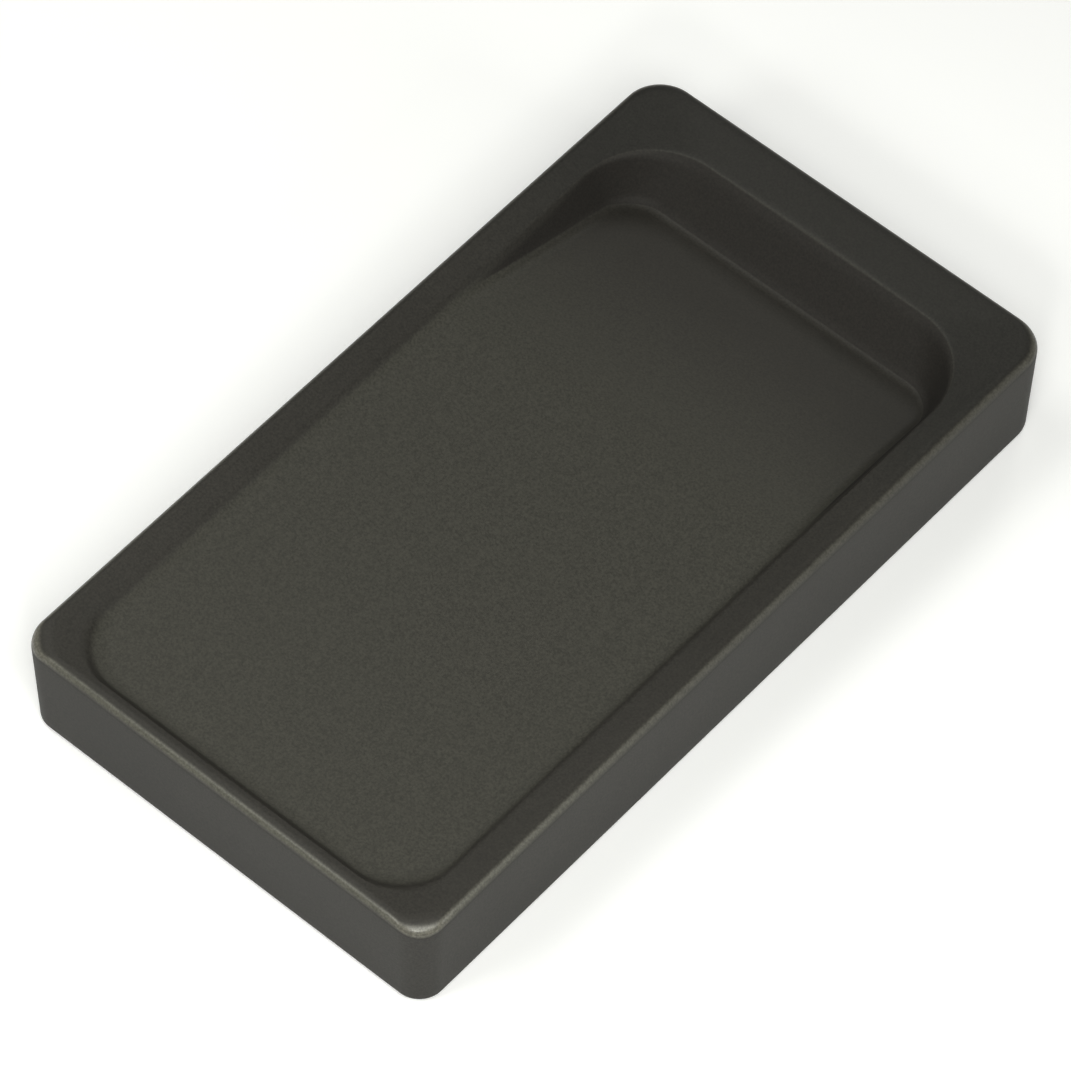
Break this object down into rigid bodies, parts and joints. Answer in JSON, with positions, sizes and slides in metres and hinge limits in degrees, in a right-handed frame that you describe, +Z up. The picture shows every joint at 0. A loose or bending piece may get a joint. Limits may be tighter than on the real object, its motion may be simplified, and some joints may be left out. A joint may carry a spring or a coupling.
{
  "type": "ink stone",
  "caption": "Shallow rectangular ink stone with a level grinding land that falls to an ink well at one end, on small non-slip pads.",
  "frame": {"origin": "middle of the slab's plan, on the plane that the undersides of the four pads rest on", "axes": "+Z up out of the basin, +Y along the length towards the ink well, +X across the width"},
  "size_m": [0.075, 0.136, 0.019],
  "materials": {
    "stone": "satin, fine even grain, smooth",
    "pad": "matt soft rubber"
  },
  "bodies": {
    "root": {"stone": "stone", "pad_near_left": "pad", "pad_near_right": "pad", "pad_far_left": "pad", "pad_far_right": "pad"}
  },
  "joints": []
}
